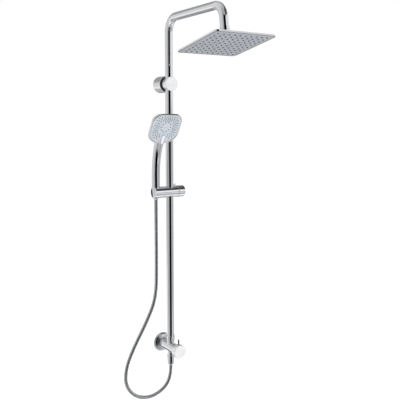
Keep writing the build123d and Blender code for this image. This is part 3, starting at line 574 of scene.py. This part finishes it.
rim_rings = [[on_face(p.x, p.y, depth) for p in face_outline(inset)] for inset, depth in rim_profile()]
piece("rim", skin(rim_rings, closed_loop=True), CHROME_PLASTIC, "handset", SLOT_OF["handset_rim"],
      "handset_rim", smooth=50)

OUTER_RINGS = ((0.042, 30), (0.035, 30), (0.028, 24))   # reach and number of nozzles
RING_FIT = 0.93
RING_DROP = 0.003
INNER_RING_R = 0.017
INNER_RING_COUNT = 10
LEVER_CLEAR_UP = -0.022       # no nozzles below this, within the next of the middle
LEVER_CLEAR_ACROSS = 0.013
OUTER_NIPPLE = (0.0031, 0.0011, 0.0007)     # half length, half width, height
INNER_NIPPLE = (0.0022, 0.0022, 0.0012)
NIPPLE_SIDES = 16
NIPPLE_PROFILE = ((-0.2, 1.0), (0.5, 0.95), (0.85, 0.75), (1.0, 0.4))   # share of height, share of width


def outer_nozzle_points():
    """Three rings that follow the rounded square, clear of the lever."""
    points = []
    for ring, (reach, count) in enumerate(OUTER_RINGS):
        for k in range(count):
            angle = 2 * math.pi * (k + 0.5 * (ring % 2)) / count
            squareness = (abs(math.cos(angle)) ** 4 + abs(math.sin(angle)) ** 4) ** 0.25
            across = RING_FIT * reach * math.cos(angle) / squareness
            up = RING_FIT * reach * math.sin(angle) / squareness - RING_DROP
            if not (up < LEVER_CLEAR_UP and abs(across) < LEVER_CLEAR_ACROSS):
                points.append(Vector((across, up)))
    return points


def inner_nozzle_points():
    angles = [2 * math.pi * k / INNER_RING_COUNT for k in range(INNER_RING_COUNT)]
    return [Vector((INNER_RING_R * math.cos(a), INNER_RING_R * math.sin(a))) for a in angles]


def nipples(points, half_length, half_width, height):
    """Soft nozzles, each drawn out along the line from the face's middle."""
    mesh = bpy.data.meshes.new("nipples")
    made = bmesh.new()
    for centre in points:
        out = centre.normalized()
        side = Vector((-out.y, out.x))
        rows = []
        for share, size in NIPPLE_PROFILE:
            row = []
            for k in range(NIPPLE_SIDES):
                angle = 2 * math.pi * (k + 0.5) / NIPPLE_SIDES
                reach = half_width * size * math.sin(angle)
                reach += math.copysign(half_length - half_width, math.sin(angle))
                spot = centre + out * reach + side * half_width * size * math.cos(angle)
                row.append(made.verts.new(on_face(spot.x, spot.y, PLATE_SINK - height * share)))
            rows.append(row)
        for a, b in zip(rows, rows[1:]):
            for k in range(NIPPLE_SIDES):
                made.faces.new((a[k], a[(k + 1) % NIPPLE_SIDES], b[(k + 1) % NIPPLE_SIDES], b[k]))
        made.faces.new(rows[-1])
        made.faces.new(list(reversed(rows[0])))
    bmesh.ops.recalc_face_normals(made, faces=made.faces)
    made.to_mesh(mesh)
    made.free()
    return mesh


piece("outer_nozzles", nipples(outer_nozzle_points(), *OUTER_NIPPLE), SPRAY_NOZZLE, "handset",
      SLOT_OF["handset_outer_nozzles"], "handset_outer_nozzles", smooth=60)
piece("inner_nozzles", nipples(inner_nozzle_points(), *INNER_NIPPLE), SPRAY_NOZZLE, "handset",
      SLOT_OF["handset_inner_nozzles"], "handset_inner_nozzles", smooth=60)

# ---------------------------------------------------------------------------
# Floor and light
# ---------------------------------------------------------------------------

FLOOR_DROP = 0.12         # below the hose's loop
FLOOR_HALF = 8.0
FLOOR_GLOW = 0.62

floor_mesh = bpy.data.meshes.new("floor")
floor_z = CAD_BOX[0].z - FLOOR_DROP
floor_corners = [(x * FLOOR_HALF, y * FLOOR_HALF, floor_z) for x, y in ((-1, -1), (1, -1), (1, 1), (-1, 1))]
floor_mesh.from_pydata(floor_corners, [], [(0, 1, 2, 3)])
floor_material = Material("floor", Roughness=0.9, Emission_Color=(1, 1, 1, 1), Emission_Strength=FLOOR_GLOW)
floor_tones = floor_material.tones(floor_material.noise(6, 3), (0.93, 0.93, 0.93), (0.95, 0.95, 0.95))
floor_material.into(floor_tones, "Base Color")
floor_mesh.materials.append(floor_material.made)
floor = bpy.data.objects.new("floor", floor_mesh)
bpy.context.scene.collection.objects.link(floor)
floor.visible_glossy = False

# The studio: pale walls all round, with a few dark gaps and brighter panels.
FAR = 999.0               # past any angle
world = bpy.data.worlds.new("studio")
bpy.context.scene.world = world
world.use_nodes = True
nodes, links = world.node_tree.nodes, world.node_tree.links
nodes.clear()


def maths(operation, *inputs):
    node = nodes.new("ShaderNodeMath")
    node.operation = operation
    for socket, value in zip(node.inputs, inputs):
        if isinstance(value, (int, float)):
            socket.default_value = value
        else:
            links.new(value, socket)
    return node.outputs[0]


def band(value, low, high, soft):
    """1 between low and high, with soft edges."""
    rise = nodes.new("ShaderNodeMapRange")
    rise.interpolation_type = "SMOOTHSTEP"
    rise.inputs["From Min"].default_value = low - soft
    rise.inputs["From Max"].default_value = low + soft
    links.new(value, rise.inputs["Value"])
    fall = nodes.new("ShaderNodeMapRange")
    fall.interpolation_type = "SMOOTHSTEP"
    fall.inputs["From Min"].default_value = high - soft
    fall.inputs["From Max"].default_value = high + soft
    fall.inputs["To Min"].default_value = 1.0
    fall.inputs["To Max"].default_value = 0.0
    links.new(value, fall.inputs["Value"])
    return maths("MULTIPLY", rise.outputs["Result"], fall.outputs["Result"])


direction = nodes.new("ShaderNodeTexCoord").outputs["Generated"]


def share_along(vector):
    """How far the studio's direction points along a fixed one."""
    dot = nodes.new("ShaderNodeVectorMath")
    dot.operation = "DOT_PRODUCT"
    links.new(direction, dot.inputs[0])
    dot.inputs[1].default_value = vector
    return dot.outputs["Value"]


# turn: the angle round the object in degrees, 0 on the side that is photographed, positive to its right
to_front = Vector((-CAMERA_LOOK.x, -CAMERA_LOOK.y, 0)).normalized()
to_right = Vector((-to_front.y, to_front.x, 0))
turn = maths("MULTIPLY", maths("ARCTAN2", share_along(to_right), share_along(to_front)), 180 / math.pi)
rise = maths("MULTIPLY", maths("ARCSINE", share_along(Z_AXIS)), 180 / math.pi)

ROUND_ABOUT = [   # turn in degrees, brightness of the wall
    (-180, 0.50), (-132, 0.50), (-120, 0.74), (-104, 0.76), (-90, 0.66), (-52, 0.66), (-38, 0.46),
    (-8, 0.36), (40, 0.50), (66, 0.56), (72, 0.40), (92, 0.38), (104, 0.66), (150, 0.66), (180, 0.50),
]
profile = nodes.new("ShaderNodeValToRGB")
profile.color_ramp.interpolation = "LINEAR"
stops = profile.color_ramp.elements
while len(stops) < len(ROUND_ABOUT):
    stops.new(0.5)
for stop, (angle, level) in zip(stops, ROUND_ABOUT):
    stop.position = (angle + 180) / 360
    stop.color = (level, level * 1.01, level * 1.025, 1)
links.new(maths("DIVIDE", maths("ADD", turn, 180), 360), profile.inputs["Fac"])

GAPS = [   # from and to, softness, in turn and then in rise, all in degrees; darkness
    (-13, 47, 2, -38, 32, 5, 1.0),
    (45, 166, 8, 28, 60, 2, 0.85),
    (168, FAR, 4, -34, -8, 4, 0.6),
    (-FAR, -168, 4, -34, -8, 4, 0.6),
    (-179, -98, 6, -66, -31, 3, 0.5),
    (-178, -120, 6, 9, 42, 5, 0.3),
]
PANELS = [   # the same, then added brightness
    (50, 115, 2, 1, 27, 2, 0.8),
    (57, 70, 1, -25, -17, 1, 0.9),
    (-135, -90, 4, -27, -12, 3, 0.35),
    (-85, -15, 5, -72, -34, 5, 0.6),
    (78, 125, 5, -66, -42, 4, 0.9),
]


def window(row):
    """One gap or panel, at its own strength."""
    in_turn, in_rise, strength = band(turn, *row[:3]), band(rise, *row[3:6]), row[6]
    return maths("MULTIPLY", maths("MULTIPLY", in_turn, in_rise), strength)


dark = reduce(lambda whole, row: maths("MAXIMUM", whole, window(row)), GAPS[1:], window(GAPS[0]))
bright = reduce(lambda whole, row: maths("ADD", whole, window(row)), PANELS[1:], window(PANELS[0]))
light_share = maths("ADD", maths("SUBTRACT", 1.0, dark), bright)
studio = nodes.new("ShaderNodeBackground")
links.new(profile.outputs["Color"], studio.inputs["Color"])
links.new(light_share, studio.inputs["Strength"])
paper = nodes.new("ShaderNodeBackground")
paper.inputs["Color"].default_value = (1, 1, 1, 1)
paths = nodes.new("ShaderNodeLightPath")
mix = nodes.new("ShaderNodeMixShader")
links.new(paths.outputs["Is Camera Ray"], mix.inputs["Fac"])
links.new(studio.outputs["Background"], mix.inputs[1])
links.new(paper.outputs["Background"], mix.inputs[2])
output = nodes.new("ShaderNodeOutputWorld")
links.new(mix.outputs["Shader"], output.inputs["Surface"])

KEY_PLACE = Vector((-1.6, -2.4, 2.6))
KEY_TARGET = Vector((0, -0.1, 0.5))

key_data = bpy.data.lights.new("key", "AREA")
key_data.shape = "DISK"
key_data.size = 2.4
key_data.energy = 60
key = bpy.data.objects.new("key", key_data)
key.location = KEY_PLACE
key.rotation_mode = "QUATERNION"
key.rotation_quaternion = (KEY_TARGET - KEY_PLACE).to_track_quat("-Z", "Y")
key.visible_glossy = False
bpy.context.scene.collection.objects.link(key)
